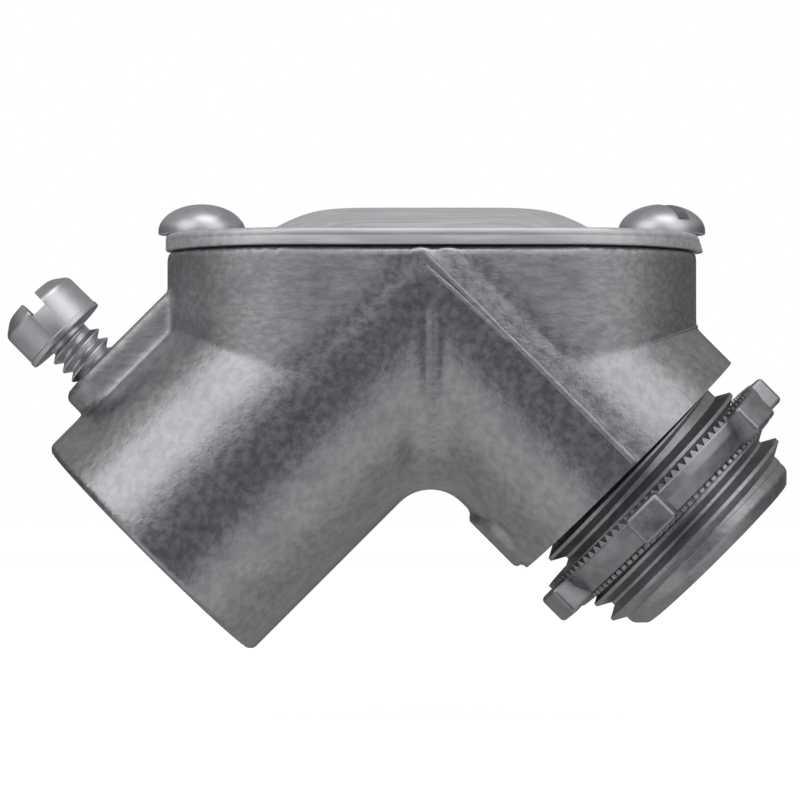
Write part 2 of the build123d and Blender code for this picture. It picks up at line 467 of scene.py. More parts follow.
def ring_tree() -> NodeTree:
    """Makes a tree that repeats one part round Z, each turned to its own place on the ring.

    Returns:
        The tree.
    """
    tree, given = new_tree(
        "ring_of_parts",
        {
            "Part": ("NodeSocketObject", None),
            "Count": ("NodeSocketInt", 6),
            "Phase": ("NodeSocketFloat", 0.0),
            "Finish": ("NodeSocketMaterial", None),
        },
    )
    value = given.outputs
    points = add_node(tree, "GeometryNodePoints", {"Count": value["Count"]})
    number = add_node(tree, "GeometryNodeInputIndex")
    share = add_node(tree, "ShaderNodeMath", {0: number, 1: value["Count"]}, operation="DIVIDE")
    angle = add_node(
        tree, "ShaderNodeMath", {0: share, 1: 2 * math.pi, 2: value["Phase"]}, operation="MULTIPLY_ADD"
    )
    turn = add_node(tree, "ShaderNodeCombineXYZ", {"Z": angle})
    part = add_node(tree, "GeometryNodeObjectInfo", {"Object": value["Part"], "As Instance": True})
    ring = add_node(
        tree,
        "GeometryNodeInstanceOnPoints",
        {"Points": points, "Instance": part.outputs["Geometry"], "Rotation": turn},
    )
    end_tree(tree, ring, value["Finish"])
    return tree


def bead_tree() -> NodeTree:
    """Makes a tree that lays a flat bead along a path, widening and wandering a little on its way.

    Returns:
        The tree.
    """
    tree, given = new_tree(
        "parting_bead",
        {
            "Path": ("NodeSocketObject", None),
            "Width": ("NodeSocketFloat", 0.5),
            "Height": ("NodeSocketFloat", 0.2),
            "Start Size": ("NodeSocketFloat", 0.5),
            "Wander": ("NodeSocketFloat", 0.1),
            "Seed": ("NodeSocketFloat", 3.0),
            "Finish": ("NodeSocketMaterial", None),
        },
    )
    value = given.outputs
    path = add_node(tree, "GeometryNodeObjectInfo", {"Object": value["Path"]})
    line = add_node(tree, "GeometryNodeMeshToCurve", {"Mesh": path.outputs["Geometry"]})
    fine = add_node(tree, "GeometryNodeResampleCurve", {"Curve": line, "Count": 90})
    waver = add_node(
        tree, "ShaderNodeTexNoise", {"W": value["Seed"], "Scale": 0.6, "Detail": 2.0}, noise_dimensions="4D"
    )
    centred = add_node(tree, "ShaderNodeMath", {0: waver, 1: 0.5}, operation="SUBTRACT")
    side = add_node(tree, "ShaderNodeMath", {0: centred, 1: value["Wander"]}, operation="MULTIPLY")
    shift = add_node(tree, "ShaderNodeCombineXYZ", {"X": side, "Z": side})
    bent = add_node(tree, "GeometryNodeSetPosition", {"Geometry": fine, "Offset": shift})
    upright = add_node(tree, "GeometryNodeSetCurveNormal", {"Curve": bent}, mode="Z_UP")
    disc = add_node(tree, "GeometryNodeCurvePrimitiveCircle", {"Resolution": 12, "Radius": 0.5})
    size = add_node(tree, "ShaderNodeCombineXYZ", {"X": value["Height"], "Y": value["Width"], "Z": 1.0})
    flat = add_node(tree, "GeometryNodeTransform", {"Geometry": disc, "Scale": size})
    along = add_node(tree, "GeometryNodeSplineParameter").outputs["Factor"]
    grow = add_node(
        tree,
        "ShaderNodeMapRange",
        {"Value": along, "From Min": 0.0, "From Max": 1.0, "To Min": value["Start Size"], "To Max": 1.0},
    )
    uneven = add_node(tree, "ShaderNodeMath", {0: waver, 1: 0.5}, operation="ADD")
    swell = add_node(tree, "ShaderNodeMath", {0: grow, 1: uneven}, operation="MULTIPLY")
    bead = add_node(
        tree,
        "GeometryNodeCurveToMesh",
        {"Curve": upright, "Profile Curve": flat, "Scale": swell, "Fill Caps": True},
    )
    end_tree(tree, bead, value["Finish"])
    return tree


def new_material(name: str) -> tuple[Material, NodeTree, NodeSocket]:
    """Starts a material.

    Args:
        name: the material's name.

    Returns:
        The material, its empty tree and the socket of its object coordinates.
    """
    material = bpy.data.materials.new(name)
    material.use_nodes = True
    tree = material.node_tree
    tree.nodes.clear()
    place = add_node(tree, "ShaderNodeTexCoord")
    return material, tree, place.outputs["Object"]


@dataclass(frozen=True)
class DieCastZinc:
    """Zinc alloy as it comes from the die: a grey skin, cloudy, with fine flow marks and grain.

    Args:
        name: the material's name.
        pale: colour of the lighter clouds, as sRGB hex.
        grey: colour of the common skin.
        chill: colour of the bluish chill marks.
        clouds: size of the clouds in millimetres.
        marks: size of the flow marks.
        grain: size of the grain.
        smooth: roughness of the smoothest skin.
        rough: roughness of the dullest skin.
        relief: depth of the flow marks.
        bite: depth of the grain.
        matt_gain: roughness added where the piece is marked as matt.
    """

    name: str
    pale: str
    grey: str
    chill: str
    clouds: float
    marks: float
    grain: float
    smooth: float
    rough: float
    relief: float
    bite: float
    matt_gain: float = 0.0

    def material(self) -> Material:
        """Builds the material. Marks and grain break up its reflections, and matt zones blur them.

        Returns:
            The material.
        """
        material, tree, place = new_material(self.name)
        matt = add_node(tree, "ShaderNodeAttribute", attribute_name=MATT).outputs["Fac"]
        level = add_node(tree, "ShaderNodeMapping", {"Vector": place, "Scale": (0.2, 1.0, 1.0)})
        cloud, mark, streak, grit = (
            add_node(
                tree,
                "ShaderNodeTexNoise",
                {"Vector": where, "Scale": 1 / (size * MM), "Detail": detail, "Roughness": 0.62},
            )
            for where, size, detail in (
                (place, self.clouds, 4.0),
                (place, self.marks, 5.0),
                (level, self.marks * 0.6, 4.0),
                (place, self.grain, 3.0),
            )
        )
        flow = add_node(tree, "ShaderNodeMix", {"Factor": matt, "A": mark, "B": streak}, data_type="FLOAT")
        lights, specks, patches, gloss = (
            add_node(
                tree,
                "ShaderNodeMapRange",
                {"Value": value, "From Min": low, "From Max": high, "To Min": least, "To Max": most},
                interpolation_type="SMOOTHSTEP",
            )
            for value, low, high, least, most in (
                (flow, 0.35, 0.65, 0.0, 1.0),
                (grit, 0.55, 0.75, 0.0, 0.4),
                (cloud, 0.48, 0.72, 0.0, 0.6),
                (mark, 0.3, 0.7, self.smooth, self.rough),
            )
        )
        tint = linear(self.grey)
        for share, colour in ((lights, self.pale), (specks, self.chill), (patches, self.chill)):
            values = {"Factor": share, "A": tint, "B": linear(colour)}
            tint = add_node(tree, "ShaderNodeMix", values, data_type="RGBA").outputs["Result"]
        dull = add_node(
            tree, "ShaderNodeMath", {0: matt, 1: self.matt_gain, 2: gloss}, operation="MULTIPLY_ADD"
        )
        swell = add_node(
            tree, "ShaderNodeBump", {"Height": mark, "Strength": 0.5, "Distance": self.relief * MM}
        )
        bite = add_node(
            tree,
            "ShaderNodeBump",
            {"Height": grit, "Strength": 0.5, "Distance": self.bite * MM, "Normal": swell},
        )
        shader = add_node(
            tree,
            "ShaderNodeBsdfPrincipled",
            {"Base Color": tint, "Metallic": 1.0, "Roughness": dull, "Normal": bite},
        )
        add_node(tree, "ShaderNodeOutputMaterial", {"Surface": shader})
        return material


@dataclass(frozen=True)
class BareMetal:
    """A metal skin of one tone that a stretched pattern breaks up.

    Args:
        name: the material's name.
        pale: colour of its lighter streaks, as sRGB hex.
        grey: colour of its darker streaks.
        streak: width of the streaks in millimetres.
        stretch: how the pattern is scaled along X, Y and Z; a small number draws it out.
        gloss: the roughness of the metal at its smoothest and at its dullest.
        relief: depth of the streaks in millimetres.
        metallic: how far the skin is bare metal, and not the salt that dulls it.
    """

    name: str
    pale: str
    grey: str
    streak: float
    stretch: tuple[float, float, float]
    gloss: tuple[float, float]
    relief: float
    metallic: float

    def material(self) -> Material:
        """Builds the material. Its streaks vary its tone, its sheen and, slightly, its level.

        Returns:
            The material.
        """
        material, tree, place = new_material(self.name)
        drawn = add_node(tree, "ShaderNodeMapping", {"Vector": place, "Scale": self.stretch})
        line = add_node(
            tree,
            "ShaderNodeTexNoise",
            {"Vector": drawn, "Scale": 1 / (self.streak * MM), "Detail": 2.5, "Roughness": 0.55},
        )
        share, rough = (
            add_node(
                tree,
                "ShaderNodeMapRange",
                {"Value": line, "From Min": 0.3, "From Max": 0.7, "To Min": least, "To Max": most},
                interpolation_type="SMOOTHSTEP",
            )
            for least, most in ((0.0, 1.0), self.gloss)
        )
        values = {"Factor": share, "A": linear(self.grey), "B": linear(self.pale)}
        tint = add_node(tree, "ShaderNodeMix", values, data_type="RGBA")
        wave = add_node(
            tree, "ShaderNodeBump", {"Height": line, "Strength": 0.4, "Distance": self.relief * MM}
        )
        shader = add_node(
            tree,
            "ShaderNodeBsdfPrincipled",
            {
                "Base Color": tint.outputs["Result"],
                "Metallic": self.metallic,
                "Roughness": rough,
                "Normal": wave,
            },
        )
        add_node(tree, "ShaderNodeOutputMaterial", {"Surface": shader})
        return material


# Die-cast zinc alloy, left as it comes from the die: cloudy grey, with soft reflections. Its grain
# is drawn coarser than it is, so that it shows.
CASTING_SKIN = DieCastZinc(
    "as_cast_zinc_alloy", "#b7b7ba", "#a1a1a4", "#939498", 3.0, 0.7, 0.35, 0.27, 0.36, 0.042, 0.025, 0.17
)
# The same alloy, tumbled: duller, and rounder at its edges.
LOCKNUT_SKIN = DieCastZinc(
    "tumbled_cast_zinc_alloy", "#aaaaad", "#98999c", "#8b8c90", 3.0, 0.9, 0.3, 0.36, 0.46, 0.04, 0.02
)
# Galvanized sheet steel, blanked and pressed: pale and satin, with rolling lines along the plate.
COVER_SHEET = BareMetal(
    "galvanized_pressed_steel", "#dddcdf", "#cbcace", 0.4, (0.06, 1.0, 0.7), (0.4, 0.52), 0.03, 0.55
)
# Steel screws with a thin zinc plate: bright and smooth, a little wavy from the header's die.
SCREW_PLATE = BareMetal(
    "bright_zinc_plated_steel", "#d3d3d7", "#bfc0c5", 2.5, (1.0, 1.0, 1.0), (0.33, 0.42), 0.04, 1.0
)


def hand_over(
    thing: Object,
    place: Place,
    material: Material,
    body: Body,
    nodes: Sequence[str] = (),
    smooth: float = 35.0,
) -> Object:
    """Finishes a piece: into metres, shaded, dressed, and riding on its body.

    Args:
        thing: the piece, in millimetres in its local frame.
        place: where that frame lies.
        material: its finish.
        body: the CAD body that it rides on.
        nodes: CAD nodes that it replaces.
        smooth: the angle in degrees past which an edge stays sharp.

    Returns:
        The same piece.
    """
    data = thing.data
    data.transform(Matrix.Scale(MM, 4) @ place.matrix())
    data.materials.clear()
    data.materials.append(material)
    data.shade_smooth()
    data.set_sharp_from_angle(angle=math.radians(smooth))
    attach(thing, body.value)
    if nodes:
        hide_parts(*nodes)
    LOG.info("%s: %d faces on %s", thing.name, len(data.polygons), body.value)
    return thing


def mark_all_matt(thing: Object, level: float) -> None:
    """Marks a whole piece as matt.

    Args:
        thing: the piece.
        level: how matt it is, from 0 to 1.
    """
    zone = thing.data.attributes.new(MATT, "FLOAT", "POINT")
    zone.data.foreach_set("value", [level] * len(thing.data.vertices))


@dataclass(frozen=True)
class ThreadRidge:
    """The ridge of one thread, wound on a core that is already there.

    Args:
        core: radius of the core.
        crest: radius of the ridge's crest.
        sink: how deep the ridge's foot lies in the core.
        foot: its width at the foot.
        tip: its width at the crest.
        pitch: how far one turn rises.
        turns: the number of turns.
        start: the height where it begins.
        fade: the share of its length over which each end fades out.
        steps: straight pieces in one turn.
    """

    core: float
    crest: float
    sink: float
    foot: float
    tip: float
    pitch: float
    turns: float
    start: float
    fade: float
    steps: int

    def wind(self, tree: NodeTree, material: Material) -> Object:
        """Winds the ridge.

        Args:
            tree: the tree that winds a ridge.
            material: the ridge's finish.

        Returns:
            An object that holds the ridge as plain mesh.
        """
        values = {
            "Core Radius": self.core - self.sink,
            "Depth": self.crest - self.core + self.sink,
            "Foot Width": self.foot,
            "Crest Width": self.tip,
            "Pitch": self.pitch,
            "Turns": self.turns,
            "Start": self.start,
            "Fade": self.fade,
            "Steps": self.steps,
            "Finish": material,
        }
        return run_tree("ridge", tree, values)


@dataclass
class Elbow:
    """The die-cast elbow: its body, the hub's thread and nose, and the parting beads."""

    leg_radius: float = 12.2
    socket_radius: float = 12.07
    well_straight: float = 10.3
    well_radius: float = 12.0

    weld_reach: float = 0.004
    voxel: float = 0.325
    smoothing: int = 2
    smoothing_share: float = 0.5
    shoulder_gap: float = 0.02
    spare_length: float = 1.5

    bore_radius: float = 7.7
    bore_ease: float = 0.4
    root_radius: float = 9.2
    crest_radius: float = 10.35
    nose_radius: float = 9.16
    nose_slope: float = 0.92
    nose_slope_length: float = 0.9
    lap: float = 0.3
    pitch: float = 1.814
    thread_turns: float = 4.8
    thread_length: float = 8.7
    hub_length: float = 10.5

    ridge_top: float = 3.2
    ridge_end: float = 17.4
    ridge_height: float = 0.2
    ridge_width: float = 0.38
    ridge_fade: float = 1.5
    seam_reach: float = 1.6
    seam_passes: int = 8

    bead_steps: int = 24
    bead_top: float = -0.8
    bead_foot: float = 16.45
    bead_sink: float = 0.02
    twin_gap: float = 0.47
    twin_points: int = 10
    twin_closing: float = 0.7
    hub_seam_first: int = 9
    ray_start: float = 30.0

    matt_blend: float = 0.35
    matt_from: float = 0.02
    hub_matt: float = 0.6
    bead_matt: float = 0.9

    def body(self, material: Material) -> Object:
        """Builds the casting up to the hub's shoulder, its edges rounded as a die leaves them.

        Args:
            material: its finish.

        Returns:
            The casting.
        """
        mesh = bmesh.new()
        mesh.from_mesh(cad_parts["elbow_casting"].data)
        mesh.transform(Matrix.Scale(1 / MM, 4))
        bmesh.ops.remove_doubles(mesh, verts=mesh.verts, dist=self.weld_reach)
        self.cap(mesh, self.spare_length)
        thing = as_object("elbow_body", mesh)
        grid = thing.modifiers.new("grid", "REMESH")
        grid.mode = "VOXEL"
        grid.voxel_size = self.voxel
        calm = thing.modifiers.new("calm", "SMOOTH")
        calm.factor = self.smoothing_share
        calm.iterations = self.smoothing
        settle(thing)
        mesh = bmesh.new()
        mesh.from_mesh(thing.data)
        self.cap(mesh)
        self.calm_seam(mesh)
        mesh.to_mesh(thing.data)
        mesh.free()
        self.raise_ridge(thing)
        self.mark_matt(thing)
        return hand_over(thing, UPRIGHT, material, Body.ELBOW, ["elbow_casting"], 60.0)

    def cap(self, mesh: BMesh, longer: float = 0.0) -> None:
        """Cuts the casting square at the hub's shoulder and closes the cut.

        Args:
            mesh: the casting, in millimetres.
            longer: how far the cut end is drawn out before it is closed.
        """
        along = HUB.along()
        whole = mesh.verts[:] + mesh.edges[:] + mesh.faces[:]
        bmesh.ops.bisect_plane(
            mesh, geom=whole, plane_co=along * -self.shoulder_gap, plane_no=along, clear_outer=True
        )
        ends = [edge for edge in mesh.edges if edge.is_boundary]
        if longer:
            drawn = bmesh.ops.extrude_edge_only(mesh, edges=ends)["geom"]
            verts = [part for part in drawn if isinstance(part, BMVert)]
            bmesh.ops.translate(mesh, verts=verts, vec=along * longer)
            ends = [edge for edge in mesh.edges if edge.is_boundary]
        bmesh.ops.triangle_fill(mesh, edges=ends, use_beauty=True, normal=along)
        still_open = len([edge for edge in mesh.edges if not edge.is_manifold])
        LOG.info("casting: cut closed over %d edges, %d left open", len(ends), still_open)

    def on_seam(self, point: Vector) -> bool:
        """Tells whether a point of the casting lies by the seam where the two legs meet."""
        return abs(point.x - CROSSING[0]) < self.seam_reach and point.z < CROSSING[2] - self.ridge_top

    def ridge(self, way: Vector) -> float:
        """Works out how strong the ridge between the legs is at a point.

        Args:
            way: the point, in millimetres from the crossing.

        Returns:
            A strength from 0 to 1.
        """
        within = min(-self.ridge_top - way.z, self.ridge_end + way.z)
        fade = min(1.0, max(0.0, within / self.ridge_fade))
        return fade * math.exp(-((way.x / self.ridge_width) ** 2))

    def calm_seam(self, mesh: BMesh) -> None:
        """Smooths the seam where the two legs meet.

        Args:
            mesh: the casting, in millimetres.
        """
        seam = [vert for vert in mesh.verts if self.on_seam(vert.co)]
        every_way = {"use_axis_x": True, "use_axis_y": True, "use_axis_z": True}
        for _ in range(self.seam_passes):
            bmesh.ops.smooth_vert(mesh, verts=seam, factor=self.smoothing_share, **every_way)

    def raise_ridge(self, thing: Object) -> None:
        """Raises the faint ridge where the legs' die cores met.

        Args:
            thing: the casting, in millimetres.
        """
        corner = Vector(CROSSING)
        moves = []
        for vert in thing.data.vertices:
            way = vert.co - corner
            moves.append(vert.co + vert.normal * self.ridge_height * self.ridge(way))
        for vert, place in zip(thing.data.vertices, moves):
            vert.co = place

    def mark_matt(self, thing: Object) -> None:
        """Marks the matt skin: the well and the pad, which stand clear of the legs, and the ridge.

        Args:
            thing: the casting, in millimetres.
        """
        zone = thing.data.attributes.new(MATT, "FLOAT", "POINT")
        corner = Vector(CROSSING)
        legs = ((HUB.along(), self.leg_radius), (SOCKET.along(), self.socket_radius))
        for vert in thing.data.vertices:
            way = vert.co - corner
            clear = min((way - way.dot(axis) * axis).length - radius for axis, radius in legs)
            level = min(1.0, max(0.0, (clear - self.matt_from) / self.matt_blend))
            zone.data[vert.index].value = self.ridge(way) if self.on_seam(vert.co) else level

    def hub(self, material: Material, thread: NodeTree) -> Object:
        """Builds the hub's core, nose and thread.

        Args:
            material: its finish.
            thread: the tree that winds a ridge.

        Returns:
            The threaded hub.
        """
        corners: list[Corner] = [
            (self.bore_radius + self.lap, -self.lap, 0.0),
            (self.root_radius, -self.lap, 0.0),
            (self.root_radius, self.thread_length, 0.0),
            (self.nose_radius, self.thread_length + 0.05, 0.0),
            (self.nose_radius, self.hub_length - self.nose_slope_length, 0.8),
            (self.nose_radius - self.nose_slope, self.hub_length, 0.3),
            (self.bore_radius + self.bore_ease, self.hub_length, 0.15),
            (self.bore_radius, self.hub_length - self.bore_ease, 0.15),
            (self.bore_radius, 0.0, 0.0),
        ]
        core = as_object("core", lathe(eased(corners), 144, ring=True))
        ridge = ThreadRidge(
            core=self.root_radius,
            crest=self.crest_radius,
            sink=0.05,
            foot=1.62,
            tip=0.3,
            pitch=self.pitch,
            turns=self.thread_turns,
            start=0.0,
            fade=0.07,
            steps=96,
        )
        whole = join("hub_thread", [core, ridge.wind(thread, material)])
        mark_all_matt(whole, self.hub_matt)
        return hand_over(whole, HUB, material, Body.ELBOW)

    def path_on(self, body: Object, line: Outline, side: int) -> Object:
        """Lays a line on the casting's skin.

        Args:
            body: the finished casting.
            line: (x, z) points in millimetres from the crossing.
            side: -1 for the front skin, 1 for the back.

        Returns:
            An object with the line's points, in millimetres, joined by edges.
        """
        mesh = bmesh.new()
        verts = []
        for x, z in line:
            start = Vector((CROSSING[0] + x, side * self.ray_start, CROSSING[2] + z)) * MM
            hit, place, _, _ = body.ray_cast(start, Vector((0, -side, 0)))
            if hit:
                verts.append(mesh.verts.new(place / MM))
        for first, second in zip(verts, verts[1:]):
            mesh.edges.new((first, second))
        return as_object("path", mesh)

    def bead_lines(self) -> dict[str, Outline]:
        """Works out where the die's parts met.

        Returns:
            For each bead its (x, z) points in millimetres from the crossing: the parting line down
            the hub's leg, a short twin of it just below, and the seam at the foot of the well.
        """
        steps = [step / self.bead_steps for step in range(self.bead_steps + 1)]
        leg = [(self.bead_top + (self.bead_foot - self.bead_top) * share) for share in steps]
        last = self.twin_points - 1
        gaps = [self.twin_gap * (1 - self.twin_closing * step / last) for step in range(self.twin_points)]
        seam = []
        for share in steps[self.hub_seam_first:]:
            turn = math.pi / 2 * (1 - share)
            x = self.well_straight + self.well_radius * math.cos(turn) - self.bead_sink
            inside = self.leg_radius**2 - (self.well_radius * math.sin(turn)) ** 2
            seam.append((x, math.sqrt(2 * inside) - x))
        return {
            "parting": [(x, -x) for x in leg],
            "twin": [(x - gap, -x - gap) for x, gap in zip(leg[1:], gaps)],
            "hub_seam": seam,
        }

    def beads(self, material: Material, bead: NodeTree, body: Object) -> None:
        """Lays the beads on the front and on the back of the casting.

        Args:
            material: their finish.
            bead: the tree that lays a bead.
            body: the finished casting.
        """
        bpy.context.view_layer.update()
        lines = self.bead_lines()
        for name, width, height, start, wander in (
            ("parting", 0.62, 0.26, 0.55, 0.1),
            ("twin", 0.34, 0.13, 1.0, 0.12),
            ("hub_seam", 0.36, 0.16, 0.3, 0.1),
        ):
            for label, side in (("front", -1), ("back", 1)):
                path = self.path_on(body, lines[name], side)
                sizes = {"Width": width, "Height": height, "Start Size": start, "Wander": wander}
                values = {"Path": path, "Finish": material, "Seed": 4.0 + side, **sizes}
                thing = run_tree(f"{label}_{name}_bead", bead, values)
                bpy.data.objects.remove(path)
                mark_all_matt(thing, self.bead_matt)
                hand_over(thing, UPRIGHT, material, Body.ELBOW, (), 70.0)


@dataclass
class Cover:
    """The pressed cover plate with its raised middle."""

    straight: float = 10.3
    radius: float = 12.15
    base: float = 1.25
    thickness: float = 1.55
    top_edge: tuple[tuple[float, float], ...] = (
        (0.0, 0.58), (0.0, 0.4), (0.05, 0.2), (0.17, 0.06), (0.36, 0.0)
    )
    rim_gap: float = 0.15
    dome_straight: float = 5.0
    dome_radius: float = 9.3
    dome_flank: float = 5.9
    dome_height: float = 2.1
    hole_place: float = 19.4
    hole_radius: float = 2.25
    burr_way: tuple[float, float, float] = (0.5, 0.0, -0.15)
    burr_rise: float = 1.5
    round_steps: int = 48
    straight_steps: int = 24
    flat_steps: int = 4
    flank_steps: int = 16

    def ring(self, straight: float, radius: float, height: float) -> list[Vector]:
        """Works out a ring with two straights and two round ends.

        Args:
            straight: half the length of its straights.
            radius: radius of its ends.
            height: how high it lies.

        Returns:
            The ring's points, in order.
        """
        points = []
        for side in (1, -1):
            for step in range(self.round_steps + 1):
                angle = side * (math.pi * step / self.round_steps - math.pi / 2)
                x = side * (straight + radius * math.cos(angle))
                points.append(Vector((x, radius * math.sin(angle), height)))
            for step in range(1, self.straight_steps):
                x = side * straight * (1 - 2 * step / self.straight_steps)
                points.append(Vector((x, side * radius, height)))
        return points

    def rise(self, share: float) -> float:
        """The dome's height at a share of the way up its flank, steep at its foot and eased above."""
        return self.dome_height * math.sin(math.pi / 2 * share)

    def face(self, level: float, edge: Outline) -> list[tuple[float, float, float]]:
        """Works out the rings of one side of the sheet, from its edge to its middle.

        Args:
            level: the height of the sheet's flat on this side.
            edge: (inset, height) of the rings near the edge.

        Returns:
            For each ring its half straight, radius and height.
        """
        rings = [(self.straight, self.radius - inset, height) for inset, height in edge]
        inner = self.radius - edge[-1][0]
        for step in range(1, self.flat_steps + 1):
            share = step / self.flat_steps
            straight = self.straight + (self.dome_straight - self.straight) * share
            rings.append((straight, inner + (self.dome_radius - inner) * share, level))
        for step in range(1, self.flank_steps + 1):
            share = step / self.flank_steps
            radius = self.dome_radius - self.dome_flank * share
            rings.append((self.dome_straight, radius, level + self.rise(share)))
        crown = self.dome_radius - self.dome_flank
        for step in range(1, self.flat_steps + 1):
            radius = crown * (1 - step / self.flat_steps)
            rings.append((self.dome_straight, radius, level + self.dome_height))
        return rings

    def lip(self, top: float) -> Outline:
        """Works out the plate's lower edge: a shallow step, then a thin gap over the casting's rim.

        Args:
            top: the height of the plate's upper face.

        Returns:
            (inset, height) of its rings.
        """
        under = self.base + self.rim_gap
        return [
            (0.02, top - 0.65),
            (0.0, top - 0.72),
            (0.0, under + 0.1),
            (0.08, under),
            (0.9, under - 0.03),
            (1.2, self.base),
        ]

    def build(self, material: Material) -> Object:
        """Builds the plate.

        Args:
            material: its finish.

        Returns:
            The plate.
        """
        top = self.base + self.thickness
        upper = self.face(top, [(inset, top - drop) for inset, drop in self.top_edge])
        lower = self.face(self.base, self.lip(top))
        mesh = bmesh.new()
        rows = [[mesh.verts.new(point) for point in self.ring(*ring)] for ring in lower[::-1] + upper]
        for below, above in zip(rows, rows[1:]):
            for step in range(len(below)):
                ahead = (step + 1) % len(below)
                mesh.faces.new((below[step], below[ahead], above[ahead], above[step]))
        bmesh.ops.remove_doubles(mesh, verts=mesh.verts, dist=1e-4)
        bmesh.ops.dissolve_degenerate(mesh, edges=mesh.edges, dist=1e-5)
        bmesh.ops.recalc_face_normals(mesh, faces=mesh.faces)
        for vert in mesh.verts:
            self.burr(vert)
        thing = as_object("cover_sheet", mesh)
        punch = [(0, 0), (self.hole_radius, 0), (self.hole_radius, 2 * top), (0, 2 * top)]
        for side in (-1, 1):
            hole = lathe(punch, 64)
            hole.transform(Matrix.Translation((side * self.hole_place, 0, 0)))
            cut(thing, hole)
        return hand_over(thing, WELL, material, Body.COVER, ["cover_plate"])

    def burr(self, vert: BMVert) -> None:
        """Draws the lower edge at the plate's right end out into the small burr of a blunt punch.

        Args:
            vert: a point of the plate, which moves if it is near that edge.
        """
        reach = vert.co.x - self.straight - self.radius
        near = max(0.0, 1 + reach) * max(0.0, 1 - (vert.co.z - self.base) / self.burr_rise)
        vert.co += Vector(self.burr_way) * near


def slotted(name: str, turned: BMesh, slot: BMesh, rounding: float, ridge: Object) -> Object:
    """Makes a screw of its turned body, its slot and its thread.

    Args:
        name: the screw's name.
        turned: its body, without slot and thread.
        slot: what the slot takes away.
        rounding: width of the rounding along its edges.
        ridge: its thread.

    Returns:
        The screw.
    """
    screw = as_object("screw", turned)
    cut(screw, slot)
    soften(screw, rounding)
    return join(name, [screw, ridge])


@dataclass
class CoverScrew:
    """A slotted round-head machine screw of the cover."""

    side: int
    slot_angle: float
    body: Body
    node: str
    radius: float = 2.08
    core_radius: float = 1.62
    length: float = 6.35
    seat: float = 2.8
    pitch: float = 0.794
    tip_ease: float = 0.25
    head_radius: float = 3.675
    head_height: float = 2.6
    head_rim: float = 0.3
    head_steps: int = 16
    slot_width: float = 1.15
    slot_depth: float = 1.45
    rounding: float = 0.07
    spacing: float = 19.4

    def build(self, material: Material, thread: NodeTree) -> Object:
        """Builds the screw with its head, slot and thread.

        Args:
            material: its finish.
            thread: the tree that winds a ridge.

        Returns:
            The screw.
        """
        arc = [math.pi / 2 * step / self.head_steps for step in range(self.head_steps + 1)]
        rise = self.head_height - self.head_rim
        head = [(self.head_radius * math.cos(a), self.head_rim + rise * math.sin(a)) for a in arc]
        head[-1] = (0.0, self.head_height)
        outline = [
            (0.0, -self.length),
            (self.core_radius - self.tip_ease, -self.length),
            (self.core_radius, self.tip_ease - self.length),
            (self.core_radius, 0.0),
            (self.head_radius - 0.1, 0.0),
            (self.head_radius, 0.1),
        ]
        size = (3 * self.head_radius, self.slot_width, 2 * self.slot_depth)
        slot = block(size, Vector((0, 0, self.head_height)))
        slot.transform(Matrix.Rotation(math.radians(self.slot_angle), 4, "Z"))
        ridge = ThreadRidge(
            core=self.core_radius,
            crest=self.radius,
            sink=0.03,
            foot=0.7,
            tip=0.12,
            pitch=self.pitch,
            turns=(self.length - 0.2) / self.pitch,
            start=-self.length + 0.1,
            fade=0.06,
            steps=32,
        ).wind(thread, material)
        whole = slotted(f"{self.node}_plated", lathe(outline + head, 96), slot, self.rounding, ridge)
        origin = (CROSSING[0] + self.side * self.spacing, 0.0, CROSSING[2] + self.seat)
        place = Place(origin, UPRIGHT.z, UPRIGHT.x)
        return hand_over(whole, place, material, self.body, [self.node])


@dataclass
class ClampingScrew:
    """The slotted cheese-head screw that clamps the conduit."""

    reach: float = 25.85
    seat: float = 17.7
    radius: float = 2.36
    core_radius: float = 1.78
    length: float = 7.94
    pitch: float = 1.058
    tip_ease: float = 0.3
    head_radius: float = 3.79
    head_height: float = 4.55
    collar_height: float = 0.42
    crown_radius: float = 2.4
    slot_width: float = 1.45
    slot_depth: float = 1.6
    rounding: float = 0.08

    def build(self, material: Material, thread: NodeTree) -> Object:
        """Builds the screw with its head, slot and thread.

        Args:
            material: its finish.
            thread: the tree that winds a ridge.

        Returns:
            The screw.
        """
        corners: list[Corner] = [
            (0.0, -self.length, 0.0),
            (self.core_radius - self.tip_ease, -self.length, 0.0),
            (self.core_radius, self.tip_ease - self.length, 0.0),
            (self.core_radius, 0.0, 0.12),
            (self.head_radius - 0.02, 0.0, 0.1),
            (self.head_radius - 0.02, self.collar_height, 0.05),
            (self.head_radius - 0.1, self.collar_height + 0.08, 0.05),
            (self.head_radius - 0.12, 3.45, 0.7),
            (self.crown_radius, 4.38, 1.6),
            (0.0, self.head_height, 0.0),
        ]
        size = (self.slot_width, 3 * self.head_radius, 2 * self.slot_depth)
        slot = block(size, Vector((0, 0, self.head_height)))
        ridge = ThreadRidge(
            core=self.core_radius,
            crest=self.radius,
            sink=0.03,
            foot=0.95,
            tip=0.13,
            pitch=self.pitch,
            turns=(self.length - 0.5) / self.pitch,
            start=-self.length + 0.15,
            fade=0.06,
            steps=48,
        ).wind(thread, material)
        whole = slotted("clamping_screw_plated", lathe(eased(corners, 6), 96), slot, self.rounding, ridge)
        along, outwards = SOCKET.along(), SOCKET.across()
        origin = Vector(CROSSING) + along * self.reach + outwards * self.seat
        place = Place(tuple(origin), SOCKET.x, tuple(-along))
        return hand_over(whole, place, material, Body.CLAMP, ["clamping_screw"])


